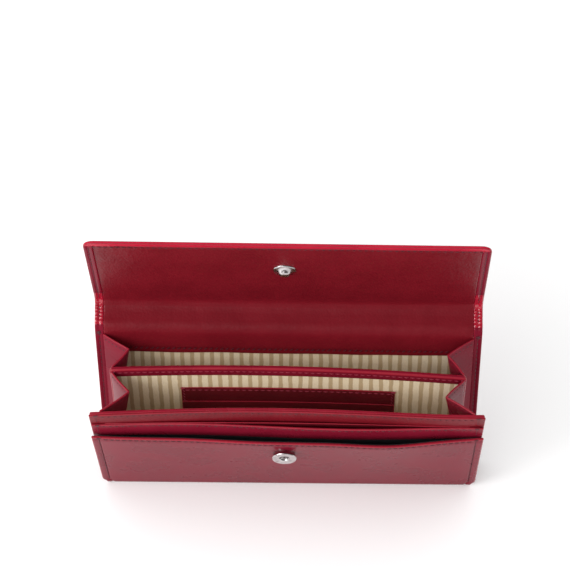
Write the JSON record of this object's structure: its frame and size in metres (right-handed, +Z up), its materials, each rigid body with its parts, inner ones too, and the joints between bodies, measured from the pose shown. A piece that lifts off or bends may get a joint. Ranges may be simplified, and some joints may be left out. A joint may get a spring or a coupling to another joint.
{
  "type": "long flap wallet",
  "caption": "Long leather flap wallet with accordion gussets, middle divider with card slots, front slip pockets and a snap closure.",
  "frame": {"origin": "centre of the flat base strip the wallet stands on, on its lower face", "axes": "+X along the wallet's width to its right, -Y out of the front panel, +Z up"},
  "size_m": [0.19, 0.064, 0.1662],
  "materials": {
    "outer_leather": "glossy burgundy leather with a fine grain",
    "inner_leather": "soft burgundy leather with a low sheen",
    "edge_leather": "turned red leather edge",
    "striped_lining": "woven beige lining with darker upright stripes",
    "black_lining": "plain black woven lining",
    "thread": "burgundy sewing thread",
    "board": "plain stiffening board",
    "snap_metal": "polished nickel plate"
  },
  "bodies": {
    "back": {"base_strip": "outer_leather", "back_cover": "outer_leather", "back_board": "board", "back_lining": "striped_lining", "back_facing": "outer_leather", "back_strip_left": "outer_leather", "back_strip_right": "outer_leather", "back_seams": "thread"},
    "spine": {"spine_cover": "outer_leather", "spine_lining": "inner_leather", "spine_seams": "thread"},
    "flap": {"flap_cover": "outer_leather", "flap_board": "board", "flap_edge": "edge_leather", "flap_lining": "inner_leather", "flap_seams": "thread", "snap_stud": "snap_metal", "stud_plate": "snap_metal"},
    "divider": {"divider_board": "board", "divider_lining_rear": "striped_lining", "divider_lining_front": "striped_lining", "divider_facing": "outer_leather", "card_panel": "inner_leather", "card_slot_upper": "inner_leather", "card_slot_middle": "inner_leather", "card_slot_lower": "inner_leather", "divider_seams": "thread"},
    "front_section": {"front_panel": "outer_leather", "front_board": "board", "pocket_lining": "black_lining", "pocket_wall": "outer_leather", "slip_panel": "inner_leather", "wall_facing": "outer_leather", "wall_board": "board", "wall_lining": "striped_lining", "section_seams": "thread", "snap_socket": "snap_metal", "socket_plate": "snap_metal"},
    "rear_gusset_left_outer": {"rear_gusset_left_outer": "inner_leather"},
    "rear_gusset_left_inner": {"rear_gusset_left_inner": "inner_leather"},
    "rear_gusset_right_outer": {"rear_gusset_right_outer": "inner_leather"},
    "rear_gusset_right_inner": {"rear_gusset_right_inner": "inner_leather"},
    "front_gusset_left_inner": {"front_gusset_left_inner": "inner_leather"},
    "front_gusset_left_outer": {"front_gusset_left_outer": "inner_leather"},
    "front_gusset_right_inner": {"front_gusset_right_inner": "inner_leather"},
    "front_gusset_right_outer": {"front_gusset_right_outer": "inner_leather"}
  },
  "joints": [
    {"name": "section_close", "type": "hinge", "parent": "back", "child": "front_section", "pos_m": [0, -0.008, 0.0032], "axis": [-1, 0, 0], "range_deg": [0, 22.9]},
    {"name": "divider_swing", "type": "hinge", "parent": "back", "child": "divider", "pos_m": [0, 0.0024, 0.0034], "axis": [-1, 0, 0], "range_deg": [0, 12.1]},
    {"name": "spine_roll", "type": "hinge", "parent": "back", "child": "spine", "pos_m": [0, 0.0126, 0.0928], "axis": [1, 0, 0], "range_deg": [0, 130.05]},
    {"name": "flap_fold", "type": "hinge", "parent": "spine", "child": "flap", "pos_m": [0, 0.02571, 0.10198], "axis": [1, 0, 0], "range_deg": [-75, 11]},
    {"name": "rear_left_outer_fold", "type": "hinge", "parent": "back", "child": "rear_gusset_left_outer", "pos_m": [-0.0909, 0.0061, 0.00003], "axis": [0, 0.0489, 0.9988], "range_deg": [0, 34.85]},
    {"name": "rear_left_inner_fold", "type": "hinge", "parent": "divider", "child": "rear_gusset_left_inner", "pos_m": [-0.085, 0.00398, 0.00366], "axis": [0, 0.1633, -0.9866], "range_deg": [0, 51.15]},
    {"name": "front_left_inner_fold", "type": "hinge", "parent": "divider", "child": "front_gusset_left_inner", "pos_m": [-0.085, 0.00082, 0.00314], "axis": [0, -0.1633, 0.9866], "range_deg": [0, 45.15]},
    {"name": "front_left_outer_fold", "type": "hinge", "parent": "front_section", "child": "front_gusset_left_outer", "pos_m": [-0.0895, -0.0043, 0.00458], "axis": [0, 0.3486, -0.9373], "range_deg": [0, 34.05]},
    {"name": "rear_right_outer_fold", "type": "hinge", "parent": "back", "child": "rear_gusset_right_outer", "pos_m": [0.0909, 0.0061, 0.00003], "axis": [0, -0.0489, -0.9988], "range_deg": [0, 34.85]},
    {"name": "rear_right_inner_fold", "type": "hinge", "parent": "divider", "child": "rear_gusset_right_inner", "pos_m": [0.085, 0.00398, 0.00366], "axis": [0, -0.1633, 0.9866], "range_deg": [0, 51.15]},
    {"name": "front_right_inner_fold", "type": "hinge", "parent": "divider", "child": "front_gusset_right_inner", "pos_m": [0.085, 0.00082, 0.00314], "axis": [0, 0.1633, -0.9866], "range_deg": [0, 45.15]},
    {"name": "front_right_outer_fold", "type": "hinge", "parent": "front_section", "child": "front_gusset_right_outer", "pos_m": [0.0895, -0.0043, 0.00458], "axis": [0, -0.3486, 0.9373], "range_deg": [0, 34.05]}
  ],
  "couplings": [
    {"joint": "divider_swing", "follows": "section_close", "ratio": 0.5262},
    {"joint": "spine_roll", "follows": "section_close", "ratio": 5.6769},
    {"joint": "rear_left_outer_fold", "follows": "section_close", "ratio": 1.5196},
    {"joint": "rear_left_inner_fold", "follows": "section_close", "ratio": 2.2314},
    {"joint": "front_left_inner_fold", "follows": "section_close", "ratio": 1.9694},
    {"joint": "front_left_outer_fold", "follows": "section_close", "ratio": 1.4847},
    {"joint": "rear_right_outer_fold", "follows": "section_close", "ratio": 1.5196},
    {"joint": "rear_right_inner_fold", "follows": "section_close", "ratio": 2.2314},
    {"joint": "front_right_inner_fold", "follows": "section_close", "ratio": 1.9694},
    {"joint": "front_right_outer_fold", "follows": "section_close", "ratio": 1.4847}
  ]
}
